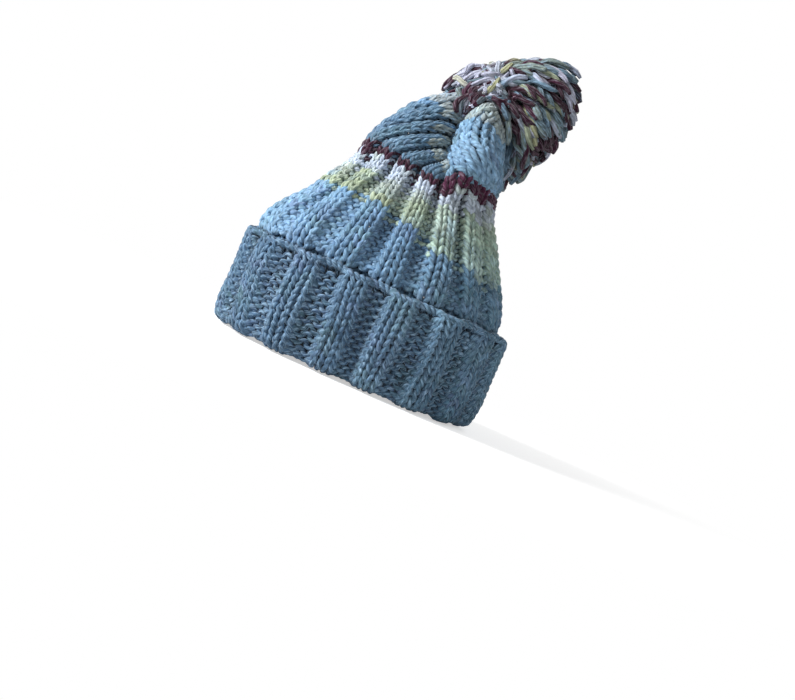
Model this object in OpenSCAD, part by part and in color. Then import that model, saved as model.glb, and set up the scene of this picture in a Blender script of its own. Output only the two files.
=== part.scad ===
// Ribbed knit beanie with a turned-up cuff, colour bands, a gathered tip and a yarn pom-pom.
// The origin is the middle of the opening, on the plane that the cuff's fold stands on.
// +Z is up the hat, -Y is the forehead and +X is the wearer's left. Sizes are in millimetres.

/* [Head opening] */
// Length of the opening inside the cuff, front to back
opening_l = 176; // [160:1:210]
// Width of the opening inside the cuff, side to side
opening_w = 138; // [120:1:158]

/* [Ribbed knit] */
// Thickness of one layer of knit
knit_t = 6.5; // [4:0.5:8]
// Number of ribs around the hat
rib_count = 16; // [12:1:22]
// How far a knit rib stands out, and a purl valley lies back, from the middle of its layer
rib_relief = 1.6; // [0.4:0.1:2.4]
// Share of a rib's pitch that its raised knit columns take on the crown
rib_share = 0.55; // [0.4:0.05:0.65]

/* [Cuff] */
// Height of the turned-up cuff
cuff_h = 76; // [50:1:100]
// Air left between the two layers of the cuff
cuff_gap = 0.6; // [0.4:0.1:3]
// Height of the rounded fold along the cuff's lower edge
fold_h = 9; // [6:0.5:14]
// Depth of the flat that the fold stands on
fold_flat = 0.5; // [0.3:0.1:1.5]
// Height of the cast-on edge along the cuff's top
edge_h = 5; // [3:0.5:8]
// Thickness of the cast-on edge at its top
edge_t = 4; // [2:0.5:4]

/* [Crown bands, measured up the middle of the crown] */
// Length of the lower blue band
blue_h = 52; // [36:1:70]
// Length of the yellow-green band
yellow_h = 21; // [12:1:34]
// Length of the white band
white_h = 11; // [6:1:20]
// Length of the burgundy stripe
burgundy_h = 13; // [6:1:20]
// Length of the upper blue band
upper_blue_h = 50; // [40:1:60]
// Room between the burgundy stripe and the slack top that flops over it
flop_gap = 0.4; // [0.3:0.1:2]
// Length of the yellow-green tip
tip_h = 15; // [12:1:20]

/* [Crown outline, front to back over the ribs] */
// Length where the blue band meets the yellow-green
yellow_start_l = 149; // [130:1:165]
// Length where the yellow-green meets the white
white_start_l = 122; // [112:1:135]
// Length where the white meets the burgundy
burgundy_start_l = 114; // [100:1:126]
// Length where the burgundy meets the upper blue
burgundy_end_l = 109; // [96:1:120]
// Length halfway up the upper blue band
upper_blue_mid_l = 84; // [76:1:96]
// Length where the upper blue meets the tip
tip_start_l = 52; // [46:1:60]
// How far the tip bends over from upright, in degrees
tip_bend = 40; // [20:1:50]
// Direction that the tip bends toward, in degrees from the wearer's left round to the back
tip_turn = 130; // [90:1:180]

/* [Crease in the slack top] */
// Depth of the crease
crease_d = 16; // [0:1:18]
// Direction that the crease faces, in degrees from the wearer's left round to the back
crease_turn = 14; // [-20:1:40]
// Turn, in degrees, over which the slack side sinks into the crease
crease_slack = 94; // [60:1:120]
// Turn, in degrees, over which the crease climbs out to the standing flap
crease_climb = 20; // [14:1:40]
// How far the courses sag beside the crease
crease_sag = 10; // [0:1:12]

/* [Gathered tip] */
// Diameter of the hole left in the gathered tip
gather_hole_d = 12; // [10:0.5:16]
// Diameter of the thread that draws the tip together
gather_thread_d = 3; // [2:0.5:4]

/* [Pom-pom tie] */
// Diameter of the tie
tie_d = 5; // [3:0.5:5.5]
// Diameter of the knot inside the crown
knot_d = 10; // [9:0.5:12]
// Distance from the gathered tip in to the middle of the knot
knot_in = 12; // [11:0.5:15]
// Distance from the gathered tip out to the point where the tie bends
bend_out = 7; // [6:0.5:10]
// Room between the tie's two lengths where it bends
bend_gap = 0.4; // [0.3:0.1:1]
// How much further than the tip the pom-pom hangs over at that bend, in degrees
tie_droop = 48; // [20:1:55]

/* [Pom-pom] */
// Diameter of the pom-pom
pompom_d = 98; // [86:1:104]
// Distance from the tie's bend to the middle of the pom-pom
pompom_out = 29; // [27:1:36]
// Diameter of the packed middle of the strands
core_d = 42; // [36:1:46]
// Diameter of the waist that the binding pinches
waist_d = 20; // [14:1:24]
// Diameter of the binding yarn
binding_d = 4; // [3:0.5:5]
// Half the opening of the groove down to the waist, in degrees
groove_turn = 12; // [9:1:16]
// Number of tufts of strands
tuft_count = 110; // [60:1:140]
// Width of a tuft at its cut end
tuft_w = 7; // [4:0.5:8]
// How far the tufts' lengths differ
tuft_uneven = 4; // [0:0.5:8]
// How deep a tuft is rooted in the packed middle
tuft_root = 2; // [1:0.5:4]
// Turn from the tip's own direction, in degrees, that the tufts reach
tuft_reach = 104; // [80:1:108]

/* [Hidden] */

blue = "#6f93b5";
yellow = "#bfc497";
white = "#d3dae4";
burgundy = "#551a2c";
cord_grey = "#8b97a6";

// Points on each rib: two corners of its raised columns, then two of the valley beside it
corner_round = 0.06;
rib_corners = [
    corner_round - rib_share / 2,
    rib_share / 2 - corner_round,
    rib_share / 2 + corner_round,
    1 - rib_share / 2 - corner_round
];
ring_n = 4 * rib_count;

// Half the thickness that a ribbed layer takes up, and the inner layer's middle at the cuff
half_layer = knit_t / 2 + rib_relief;
cuff_spine = (opening_l - opening_w) / 2;
cuff_r = opening_w / 2 + half_layer;
// Distance between the middles of the cuff's two layers
layer_step = 2 * half_layer + cuff_gap;

// Levels up the middle of the crown where the bands meet
yellow_at = blue_h;
white_at = yellow_at + yellow_h;
burgundy_at = white_at + white_h;
upper_blue_at = burgundy_at + burgundy_h;
upper_mid_at = upper_blue_at + upper_blue_h / 2;
tip_at = upper_blue_at + upper_blue_h;
gather_at = tip_at + tip_h;

// The middle of the crown runs straight up to the burgundy stripe and then bends round an arc
bend_from = burgundy_at;
bend_r = (gather_at - bend_from) / (tip_bend * PI / 180);

// Half the length of the middle of the layer at each of those levels
gather_r = gather_hole_d / 2 + half_layer;
outline = [
    [0, cuff_spine + cuff_r],
    [yellow_at, yellow_start_l / 2 - half_layer],
    [white_at, white_start_l / 2 - half_layer],
    [burgundy_at, burgundy_start_l / 2 - half_layer],
    [upper_blue_at, burgundy_end_l / 2 - half_layer],
    [upper_mid_at, upper_blue_mid_l / 2 - half_layer],
    [tip_at, tip_start_l / 2 - half_layer],
    [gather_at, gather_r]
];

// Stacks of levels that give each crown band its curve
blue_steps = 4;
narrow_steps = 2;
upper_blue_steps = 7;
tip_steps = 3;
fold_steps = 10;

// How sharply the slack side sinks, and the share of the crease that is left at the gathered tip
crease_power = 1.5;
crease_left = 0.15;

function smooth(t) = let (c = max(0, min(1, t))) c * c * (3 - 2 * c);

// Slope of a curve through stations at station i
function slope(stations, i) =
    let (a = stations[max(0, i - 1)], b = stations[min(len(stations) - 1, i + 1)])
    (b[1] - a[1]) / (b[0] - a[0]);

// Height of the smooth curve through stations at x
function curve(stations, x, i = 0) =
    i < len(stations) - 2 && x > stations[i + 1][0] ? curve(stations, x, i + 1) :
    let (
        p = stations[i],
        q = stations[i + 1],
        w = q[0] - p[0],
        t = (x - p[0]) / w,
        m = slope(stations, i) * w,
        n = slope(stations, i + 1) * w
    )
    (2 * t ^ 3 - 3 * t ^ 2 + 1) * p[1] + (t ^ 3 - 2 * t ^ 2 + t) * m
        + (3 * t ^ 2 - 2 * t ^ 3) * q[1] + (t ^ 3 - t ^ 2) * n;

// Place along the spine, and direction of the outward normal, at a share of the way round an oval
// that has straight sides of 2 * spine and round ends of radius r. It starts at the wearer's left.
function oval_at(share, spine, r) =
    let (
        end = PI * r,
        l = (share - floor(share)) * (4 * spine + 2 * end)
    )
    l < spine ? [l, 0] :
    l < spine + end ? [spine, (l - spine) / end * 180] :
    l < 3 * spine + end ? [2 * spine + end - l, 180] :
    l < 3 * spine + 2 * end ? [-spine, 180 + (l - 3 * spine - end) / end * 180] :
    [l - 4 * spine - 2 * end, 360];

// Share of the way round at point i of a ring, and whether the crown's rib stands out there
function ring_share(i) = (floor(i / 4) + rib_corners[i % 4]) / rib_count;
function rib_wave(i) = i % 4 < 2 ? 1 : -1;

// Point on the cuff, off from the middle of its inner layer, at height z
function cuff_point(i, off, z) =
    let (at = oval_at(ring_share(i), cuff_spine, cuff_r))
    [(cuff_r + off) * cos(at[1]), at[0] + (cuff_r + off) * sin(at[1]), z];

// Share of the crease's depth at a share of the way round
function crease_share(share) =
    let (
        turn = 360 * share - crease_turn,
        t = turn - 360 * floor((turn + 180) / 360)
    )
    t < 0 ? smooth(1 + t / crease_slack) ^ crease_power : 1 - smooth(t / crease_climb);

// Depth of the crease at a level: none at the stripe, most in the upper blue, little at the tip
function crease_at(level) =
    crease_d * smooth((level - burgundy_at) / (upper_mid_at - burgundy_at))
        * (1 - (1 - crease_left) * smooth((level - upper_mid_at) / (gather_at - upper_mid_at)));

// Sag of the courses at a level
function sag_at(level) =
    crease_sag * smooth((level - yellow_at) / (upper_blue_at - yellow_at))
        * (1 - smooth((level - upper_blue_at) / (tip_at - upper_blue_at)));

// Point of the crown at a level, with x and y across its middle and z dropped by the sag
function crown_place(level, x, y, sag) =
    let (
        tilt = max(0, level - bend_from) / bend_r * 180 / PI,
        toward = x * cos(tip_turn) + y * sin(tip_turn),
        across = y * cos(tip_turn) - x * sin(tip_turn),
        d = bend_r * (1 - cos(tilt)) + toward * cos(tilt),
        h = min(level, bend_from) + bend_r * sin(tilt) - toward * sin(tilt)
    )
    [
        d * cos(tip_turn) - across * sin(tip_turn),
        d * sin(tip_turn) + across * cos(tip_turn),
        cuff_h + h - sag
    ];

// Point of the crown's ring i at a level, off from the middle of the layer
function crown_point(i, level, off) =
    let (
        spine = cuff_spine * (1 - smooth(level / upper_blue_at)),
        r = curve(outline, level) - spine,
        share = ring_share(i),
        at = oval_at(share, spine, r),
        rho = r - crease_at(level) * crease_share(share) + off
    )
    crown_place(level, rho * cos(at[1]), at[0] + rho * sin(at[1]), sag_at(level) * crease_share(share));

// Closed ring swept through sections, each a loop of points in turn round the hat. The last face of
// each section is split along the same diagonal as the face of the ring that it stands on.
module swept_ring(sections) {
    n = len(sections);
    m = len(sections[0]);
    polyhedron(
        points = [for (section = sections) each section],
        faces = [
            for (i = [0 : n - 1], q = [0 : m - 1])
                let (
                    a = i * m + q,
                    b = i * m + (q + 1) % m,
                    c = (i + 1) % n * m + (q + 1) % m,
                    d = (i + 1) % n * m + q
                )
                each q < m - 1 ? [[a, b, c], [a, c, d]] : [[a, b, d], [b, c, d]]
        ]
    );
}

// Band of the crown between two levels
module crown_band(from, to, steps) {
    swept_ring([
        for (i = [0 : ring_n - 1])
            [
                for (k = [0 : steps])
                    crown_point(i, from + (to - from) * k / steps, rib_wave(i) * rib_relief + knit_t / 2),
                for (k = [steps : -1 : 0])
                    crown_point(i, from + (to - from) * k / steps, rib_wave(i) * rib_relief - knit_t / 2)
            ]
    ]);
}

// One layer of the cuff between two heights; side is 1 against the head and -1 turned up outside,
// where the ribs show their other face
module cuff_layer(step, side, from, to, top_t) {
    swept_ring([
        for (i = [0 : ring_n - 1])
            let (middle = step + side * rib_wave(i) * rib_relief)
            [
                cuff_point(i, middle + knit_t / 2, from),
                cuff_point(i, middle + top_t / 2, to),
                cuff_point(i, middle - top_t / 2, to),
                cuff_point(i, middle - knit_t / 2, from)
            ]
    ]);
}

module cuff_outer() {
    color(blue) cuff_layer(layer_step, -1, fold_h, cuff_h - edge_h, knit_t);
}

// The first course that was cast on, thinner at its top
module cast_on_edge() {
    color(blue) cuff_layer(layer_step, -1, cuff_h - edge_h, cuff_h, edge_t);
}

module cuff_inner() {
    color(blue) cuff_layer(0, 1, fold_h, cuff_h, knit_t);
}

// The rounded fold that joins the two layers, standing on a flat ring
module cuff_fold() {
    color(blue)
    swept_ring([
        for (i = [0 : ring_n - 1])
            let (
                in = rib_wave(i) * rib_relief - knit_t / 2,
                out = layer_step - rib_wave(i) * rib_relief + knit_t / 2
            )
            [
                for (k = [0 : fold_steps])
                    let (turn = 180 * k / fold_steps)
                    cuff_point(
                        i,
                        (in + out) / 2 - (out - in) / 2 * cos(turn),
                        max(0, fold_h - (fold_h + fold_flat) * sin(turn))
                    )
            ]
    ]);
}

module crown_blue_band() {
    color(blue) crown_band(0, yellow_at, blue_steps);
}

module crown_yellow_band() {
    color(yellow) crown_band(yellow_at, white_at, narrow_steps);
}

module crown_white_band() {
    color(white) crown_band(white_at, burgundy_at, narrow_steps);
}

module crown_burgundy_band() {
    color(burgundy) crown_band(burgundy_at, upper_blue_at - flop_gap, narrow_steps);
}

module crown_upper_blue_band() {
    color(blue) crown_band(upper_blue_at, tip_at, upper_blue_steps);
}

module crown_tip_band() {
    color(yellow) crown_band(tip_at, gather_at, tip_steps);
}

// Frame at the middle of the gathered tip, with Z out of the hole
gather_point = crown_place(gather_at, 0, 0, 0);
module at_gather() {
    translate(gather_point) rotate([0, tip_bend, tip_turn]) children();
}

module torus(r, d) {
    rotate_extrude($fn = 48) translate([r, 0]) circle(d = d, $fn = 24);
}

// Thread drawn through the last course of loops, half sunk in it
module gather_thread() {
    color(cord_grey) at_gather() torus(gather_r, gather_thread_d);
}

// Length of the tie from the knot out through the hole
module pompom_tie() {
    color(cord_grey)
    at_gather()
    translate([0, 0, -knot_in])
    cylinder(d = tie_d, h = knot_in + bend_out - tie_d / 2 - bend_gap, $fn = 32);
}

module tie_knot() {
    color(cord_grey)
    at_gather()
    translate([0, 0, -knot_in])
    difference() {
        sphere(d = knot_d, $fn = 48);
        cylinder(d = tie_d, h = knot_d, $fn = 32);
    }
}

// Frame at the tie's bend, with Z along the tie as it hangs over
module at_bend() {
    at_gather() translate([0, 0, bend_out]) rotate([0, tie_droop, 0]) children();
}

// Length of the tie from its bend to the binding, with a round end at the bend
module tie_neck() {
    color(cord_grey)
    at_bend() {
        sphere(d = tie_d, $fn = 32);
        cylinder(d = tie_d, h = pompom_out - waist_d / 2 - binding_d / 2, $fn = 32);
    }
}

// Frame at the middle of the pom-pom, with Z in the tip's own direction
module at_pompom() {
    at_bend() translate([0, 0, pompom_out]) rotate([0, -tie_droop, 0]) children();
}

// Yarn wound tight round the waist of the bundle
module pompom_binding() {
    color(cord_grey) at_pompom() rotate([90, 0, 0]) torus(waist_d / 2 + binding_d / 2, binding_d);
}

// Packed middle of the strands, pinched to a waist by the binding
module pompom_core() {
    groove = core_d * tan(groove_turn);
    color(cord_grey)
    at_pompom()
    rotate([90, 0, 0])
    rotate_extrude($fn = 64)
    difference() {
        intersection() {
            circle(d = core_d, $fn = 64);
            translate([0, -core_d]) square([core_d, 2 * core_d]);
        }
        polygon([
            [waist_d / 2, -binding_d / 2],
            [core_d, -binding_d / 2 - groove],
            [core_d, binding_d / 2 + groove],
            [waist_d / 2, binding_d / 2]
        ]);
    }
}

// Direction of tuft i, spread evenly from the tip's own direction to the tufts' reach
golden_turn = 180 * (3 - sqrt(5));
function tuft_polar(i) = acos(1 - (i + 0.5) / tuft_count * (1 - cos(tuft_reach)));
function tuft_side(i) = sin(tuft_polar(i)) * abs(sin(golden_turn * i));
// Half the turn, in degrees, that the parting over the binding takes
parting_room = 3;
parting = groove_turn + parting_room;
// Length of a tuft's rounded end and the width that it narrows to, as shares of the tuft's width
end_l_share = 1 / 3;
end_w_share = 0.6;
// Tufts in one round of colours, and the steps in which their lengths differ
colour_round = 5;
length_steps = 10;
length_skip = 7;

// One tuft along Z, widening from its root to its cut end
module tuft(length) {
    root = core_d / 2 - tuft_root;
    root_w = tuft_w * root / (pompom_d / 2);
    rings = [[root, root_w], [length - tuft_w * end_l_share, tuft_w], [length, tuft_w * end_w_share]];
    corners = [[1, 1], [-1, 1], [-1, -1], [1, -1]];
    polyhedron(
        points = [
            for (ring = rings, corner = corners)
                [corner.x * ring[1] / 2, corner.y * ring[1] / 2, ring[0]]
        ],
        faces = [
            [0, 1, 2], [0, 2, 3],
            for (k = [0, 4], c = [0 : 3])
                let (a = k + c, b = k + (c + 1) % 4)
                each [[a, b + 4, b], [a, a + 4, b + 4]],
            [8, 10, 9], [8, 11, 10]
        ]
    );
}

// Every tuft whose place in a round of colours is in the list, cut to uneven lengths
module tufts(places) {
    at_pompom()
    for (i = [0 : tuft_count - 1])
        if (len(search(i % colour_round, places)) > 0 && tuft_side(i) > sin(parting))
            rotate([0, tuft_polar(i), golden_turn * i])
            tuft(pompom_d / 2 - tuft_uneven * (i * length_skip % length_steps) / length_steps);
}

module pompom_strands_blue() {
    color(blue) tufts([0, 2]);
}

module pompom_strands_burgundy() {
    color(burgundy) tufts([1]);
}

module pompom_strands_white() {
    color(white) tufts([3]);
}

module pompom_strands_yellow() {
    color(yellow) tufts([4]);
}

cuff_outer();
cast_on_edge();
cuff_fold();
cuff_inner();
crown_blue_band();
crown_yellow_band();
crown_white_band();
crown_burgundy_band();
crown_upper_blue_band();
crown_tip_band();
gather_thread();
pompom_tie();
tie_knot();
tie_neck();
pompom_binding();
pompom_core();
pompom_strands_blue();
pompom_strands_burgundy();
pompom_strands_white();
pompom_strands_yellow();
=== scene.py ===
"""Ribbed knit beanie: every course of the fabric is a looped yarn, and the pom-pom is cut strands.

Lengths are in millimetres until a mesh is made. +Z is up the hat, -Y the forehead, +X the wearer's left.
"""
import math

import bpy
import numpy as np
from mathutils import Matrix, Vector
from mathutils.bvhtree import BVHTree


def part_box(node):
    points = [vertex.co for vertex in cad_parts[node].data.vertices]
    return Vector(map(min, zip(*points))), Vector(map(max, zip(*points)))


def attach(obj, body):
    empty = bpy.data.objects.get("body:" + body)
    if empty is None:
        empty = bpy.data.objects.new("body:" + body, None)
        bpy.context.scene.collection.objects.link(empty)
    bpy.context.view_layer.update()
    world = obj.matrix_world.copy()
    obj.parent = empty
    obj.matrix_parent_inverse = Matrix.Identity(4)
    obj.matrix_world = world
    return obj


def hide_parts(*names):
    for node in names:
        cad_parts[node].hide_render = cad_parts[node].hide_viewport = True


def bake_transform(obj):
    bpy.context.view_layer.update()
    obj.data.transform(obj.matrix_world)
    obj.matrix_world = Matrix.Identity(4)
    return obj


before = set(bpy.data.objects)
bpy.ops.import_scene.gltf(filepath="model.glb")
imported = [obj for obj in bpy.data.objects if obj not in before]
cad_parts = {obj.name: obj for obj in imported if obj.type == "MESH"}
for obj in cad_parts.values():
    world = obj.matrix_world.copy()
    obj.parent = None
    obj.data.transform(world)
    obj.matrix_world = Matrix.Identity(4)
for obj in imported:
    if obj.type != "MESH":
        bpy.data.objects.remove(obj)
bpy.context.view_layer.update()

MM = 0.001
TURN = 2 * math.pi

# Camera: where it stands, what it looks at and how far the hat leans in the picture
CAMERA_AZIMUTH = 88.62
CAMERA_ELEVATION = -2.07
CAMERA_ROLL = 24.225
CAMERA_DISTANCE = 1000
CAMERA_ABOUT = (0, 0, 110)
CAMERA_AIM = (0, 33.4, 34.7)
PICTURE_W = 795
FOCAL_PX = 1295.5
SENSOR_MM = 36

# Sizes of the solids that the yarn follows
KNIT_T = 6.5
RIB_RELIEF = 1.6
RIB_COUNT = 16
CUFF_GAP = 0.6
OPENING_L = 176
OPENING_W = 138
CUFF_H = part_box("cast_on_edge")[1].z / MM
BLUE_H = 52
YELLOW_H = 21
WHITE_H = 11
BURGUNDY_H = 13
UPPER_BLUE_H = 50
TIP_H = 15
YELLOW_START_L = 149
WHITE_START_L = 122
BURGUNDY_START_L = 114
BURGUNDY_END_L = 109
UPPER_BLUE_MID_L = 84
TIP_START_L = 52
GATHER_HOLE_D = 12
TIP_BEND = math.radians(40)
TIP_TURN = math.radians(130)
CREASE_D = 15
CREASE_TURN = 14
CREASE_TOP_TURN = -1
CREASE_SLACK = 125
CREASE_TOP_SLACK = 100
CREASE_CLIMB = 12
CREASE_SAG = 10
CREASE_POWER = 1.3
CREASE_LEFT = 0.15
# Sharp fold at the bottom of the crease, and the full flap that stands up beside it
GROOVE_D = 18
GROOVE_HALF = 9
GROOVE_TOP_HALF = 22
FLAP_BULGE = 9
FLAP_TURN = 110
FLAP_SHARE = 0.36
# The lower crown is full and rolls over the cuff, most of all at the forehead
LOWER_BULGE = 4
FOREHEAD_BULGE = 5
FULL_FROM = -4
FULL_RISE = 12
FULL_TO = 16
FULL_FALL = 34

HALF_LAYER = KNIT_T / 2 + RIB_RELIEF
CUFF_SPINE = (OPENING_L - OPENING_W) / 2
CUFF_R = OPENING_W / 2 + HALF_LAYER
LAYER_STEP = 2 * HALF_LAYER + CUFF_GAP

YELLOW_AT = BLUE_H
WHITE_AT = YELLOW_AT + YELLOW_H
BURGUNDY_AT = WHITE_AT + WHITE_H
UPPER_BLUE_AT = BURGUNDY_AT + BURGUNDY_H
UPPER_MID_AT = UPPER_BLUE_AT + UPPER_BLUE_H / 2
TIP_AT = UPPER_BLUE_AT + UPPER_BLUE_H
GATHER_AT = TIP_AT + TIP_H
BEND_R = (GATHER_AT - BURGUNDY_AT) / TIP_BEND
GATHER_R = GATHER_HOLE_D / 2 + HALF_LAYER
# Level where the crease starts to slant, and the run over which it does
CREASE_SLANT_FROM = 104
CREASE_SLANT_RUN = TIP_AT - 103
# Levels between which the groove deepens and the flap is full, and the runs over which they come and go
GROOVE_FROM = 100
GROOVE_RISE = 20
GROOVE_TO = GATHER_AT - 8
GROOVE_FALL = 22
FLAP_CLIMB = 14
FLAP_RISE = 16
FLAP_TO = GATHER_AT + 1
FLAP_FALL = 14
# Half lengths of the crown's oval at levels up the hat
OUTLINE = np.array([
    (0, CUFF_SPINE + CUFF_R),
    (YELLOW_AT, YELLOW_START_L / 2 - HALF_LAYER),
    (WHITE_AT, WHITE_START_L / 2 - HALF_LAYER),
    (BURGUNDY_AT, BURGUNDY_START_L / 2 - HALF_LAYER),
    (UPPER_BLUE_AT, BURGUNDY_END_L / 2 - HALF_LAYER),
    (UPPER_MID_AT, UPPER_BLUE_MID_L / 2 - HALF_LAYER),
    (TIP_AT, TIP_START_L / 2 - HALF_LAYER),
    (GATHER_AT, GATHER_R),
])

# The slack side's ribs turn toward the crease between two levels, over a share of the way round
SLUMP_SHARE = 0.26
SLUMP_FROM = 94
SLUMP_TO = 150
SLUMP_LOW = 98
SLUMP_RISE = 46
SLUMP_TURN = 0.95

# The fabric's soft swells and its ribs' stray: size, times round, times up, turn
SWELLS = ((0.9, 3, 1.7, 0.0), (0.7, 5, -2.3, 1.0), (0.5, 9, 3.1, 2.0))
SWELL_RUN = 30
STRAYS = ((0.0016, 2, 1.0, 0.0), (0.0012, 7, -1.6, 0.5))
STRAY_RUN = 24

# Yarn and stitches; the slack top has fuller yarn
STITCHES = 4 * RIB_COUNT
YARN_R = 1.9
TOP_YARN_R = 2.1
YARN_LEAST_R = 0.75
YARN_SHARE = 0.25
LOOP_DEPTH = 1.45
LOOP_HEIGHT = 0.84
LOOP_NECK = 1.35
LOOP_PLUMP = 0.07
# Where knit columns meet purl columns: how far the legs close up, the fuller yarn and the turn of a loop
STEP_LEAN = 0.06
STEP_FILL = 0.6
STEP_TURN = 1.0
STEPS_PER_STITCH = 16
YARN_SIDES = 8
PLY_LENGTH = 9.0
# Painted shade: yarn that lies low in the fabric is painted darker: the darkest share, the depth over
# which it fades, its tint and how much the ribs' height counts
DEEP_SHADE = 0.11
SHADE_FROM = -1.6
SHADE_RUN = 3.9
SHADE_TINT = np.array((1.14, 1.0, 0.88))
RIB_SHADE = 0.36
CUFF_RIB_SHADE = 0.70
SLACK_RIB_SHADE = 0.57
SLACK_SHADE = 1.2
# The knit columns' share of a rib: low on the crown, more toward the tip, less of that on the slack side
# and more at the back
KNIT_LOW = 0.54
KNIT_MORE = 0.40
KNIT_SLACK = 0.22
KNIT_BACK = 0.20
# How far the ribs stand out from the fabric's middle, and how much the fold presses them flat
CUFF_RELIEF = 2.8
INNER_RELIEF = 1.4
FOLD_PRESS = 1.3
RIB_EDGE = 0.09
CROWN_RELIEF = 3.1
SLACK_RELIEF = 5.0
# Each rib of the slack side closes up to a roll, and the flap's ribs part a little in the middle
ROLL_HEIGHT = 2.1
ROLL_NARROW = 1.96
ROLL_DROP = 1.4
PART_DEPTH = 0.9
PART_HALF = 0.09

# Colours of the yarn, as linear values
BLUE = np.array((0.108, 0.212, 0.352))
BLUE_PALE = np.array((0.228, 0.390, 0.570))
LAVENDER = np.array((0.170, 0.235, 0.420))
SEA = np.array((0.130, 0.250, 0.275))
TEAL = np.array((0.088, 0.180, 0.235))
YELLOW = np.array((0.305, 0.370, 0.260))
# Moss and sage are the yarn's greens, brighter as painted light for the back, where the lamps reach less
MOSS_PAINTED_LIGHT = np.array((0.385, 0.475, 0.370))
SAGE_PAINTED_LIGHT = np.array((0.310, 0.480, 0.450))
# Olive, darker as painted shade, for where the slack ends in the crease
OLIVE_PAINTED_SHADE = np.array((0.180, 0.200, 0.110))
WHITE = np.array((0.505, 0.565, 0.680))
SILVER = np.array((0.430, 0.490, 0.570))
BURGUNDY = np.array((0.048, 0.008, 0.027))
GREY_BLUE = np.array((0.190, 0.270, 0.330))

rng = np.random.default_rng(16)


def smooth(t):
    c = np.clip(t, 0, 1)
    return c * c * (3 - 2 * c)


def mix(a, b, t):
    t = np.asarray(t)[..., None]
    return a * (1 - t) + b * t


def hermite(stations, x):
    """Height of the smooth curve through stations at x."""
    at, height = stations[:, 0], stations[:, 1]
    slopes = np.empty(len(at))
    slopes[1:-1] = (height[2:] - height[:-2]) / (at[2:] - at[:-2])
    slopes[0] = (height[1] - height[0]) / (at[1] - at[0])
    slopes[-1] = (height[-1] - height[-2]) / (at[-1] - at[-2])
    i = np.clip(np.searchsorted(at, x, side="left") - 1, 0, len(at) - 2)
    w = at[i + 1] - at[i]
    t = (x - at[i]) / w
    return (
        (2 * t**3 - 3 * t**2 + 1) * height[i]
        + (t**3 - 2 * t**2 + t) * slopes[i] * w
        + (3 * t**2 - 2 * t**3) * height[i + 1]
        + (t**3 - t**2) * slopes[i + 1] * w
    )


def oval(share, spine, r):
    """Place along the spine and outward angle at a share of the way round a straight-sided oval."""
    end = math.pi * r
    at = (share - np.floor(share)) * (4 * spine + 2 * end)
    stretches = [at < spine, at < spine + end, at < 3 * spine + end, at < 3 * spine + 2 * end]
    along = np.select(stretches, [at, spine, 2 * spine + end - at, -spine], at - 4 * spine - 2 * end)
    angle = np.select(
        stretches,
        [0 * at, (at - spine) / r, 0 * at + math.pi, math.pi + (at - 3 * spine - end) / r],
        TURN,
    )
    return along, angle


def crease_rise(level):
    """How far up its slanting course the crease is at a level."""
    return smooth((level - CREASE_SLANT_FROM) / CREASE_SLANT_RUN)


def crease_turn(level):
    """Degrees round the hat at which the crease lies."""
    return CREASE_TURN + (CREASE_TOP_TURN - CREASE_TURN) * crease_rise(level)


def past_crease(share, level):
    """Degrees past the crease, negative on the slack side."""
    turn = 360 * share - crease_turn(level)
    return turn - 360 * np.floor((turn + 200) / 360)


def crease_share(share, level):
    """How much of the crease's depth the fabric has at a place."""
    t = past_crease(share, level)
    slack = CREASE_SLACK + (CREASE_TOP_SLACK - CREASE_SLACK) * crease_rise(level)
    return np.where(t < 0, smooth(1 + t / slack) ** CREASE_POWER, 1 - smooth(t / CREASE_CLIMB))


def crease_groove(share, level):
    """Extra depth of the fold at the crease, less the bulge of the flap beside it."""
    t = past_crease(share, level)
    half = GROOVE_HALF + (GROOVE_TOP_HALF - GROOVE_HALF) * crease_rise(level)
    groove = GROOVE_D * np.exp(-((t + 0.8 * half) / half) ** 2)
    groove = groove * smooth((level - GROOVE_FROM) / GROOVE_RISE)
    groove = groove * smooth((GROOVE_TO - level) / GROOVE_FALL)
    bulge = FLAP_BULGE * smooth(t / FLAP_CLIMB) * smooth((FLAP_TURN - t) / (0.6 * FLAP_TURN))
    bulge = bulge * smooth((level - UPPER_BLUE_AT) / FLAP_RISE) * smooth((FLAP_TO - level) / FLAP_FALL)
    return groove - bulge


def crease_at(level):
    """Depth of the crease at a level."""
    rise = smooth((level - BURGUNDY_AT) / (UPPER_MID_AT - BURGUNDY_AT))
    fall = smooth((level - UPPER_MID_AT) / (GATHER_AT - UPPER_MID_AT))
    return CREASE_D * rise * (1 - (1 - CREASE_LEFT) * fall)


def sag_at(level):
    """How far the courses sag beside the crease at a level."""
    fall = smooth((level - UPPER_BLUE_AT) / (TIP_AT - UPPER_BLUE_AT))
    return CREASE_SAG * smooth((level - YELLOW_AT) / (UPPER_BLUE_AT - YELLOW_AT)) * (1 - fall)


def crown_place(level, x, y, sag):
    """Point at a level of the crown, whose middle bends over above the burgundy stripe."""
    tilt = np.maximum(0, level - BURGUNDY_AT) / BEND_R
    toward = x * math.cos(TIP_TURN) + y * math.sin(TIP_TURN)
    across = y * math.cos(TIP_TURN) - x * math.sin(TIP_TURN)
    d = BEND_R * (1 - np.cos(tilt)) + toward * np.cos(tilt)
    h = np.minimum(level, BURGUNDY_AT) + BEND_R * np.sin(tilt) - toward * np.sin(tilt)
    return np.stack(
        [
            d * math.cos(TIP_TURN) - across * math.sin(TIP_TURN),
            d * math.sin(TIP_TURN) + across * math.cos(TIP_TURN),
            CUFF_H + h - sag,
        ],
        -1,
    )


def waves(table, around, up):
    return sum(size * np.sin(a * around + b * up + turn) for size, a, b, turn in table)


def unevenness(share, run):
    """Soft swells of a fabric that is never quite regular."""
    return waves(SWELLS, TURN * share, run / SWELL_RUN)


def wander(share, run):
    """How far the ribs stray sideways, as a share of the way round."""
    return waves(STRAYS, TURN * share, run / STRAY_RUN)


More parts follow.
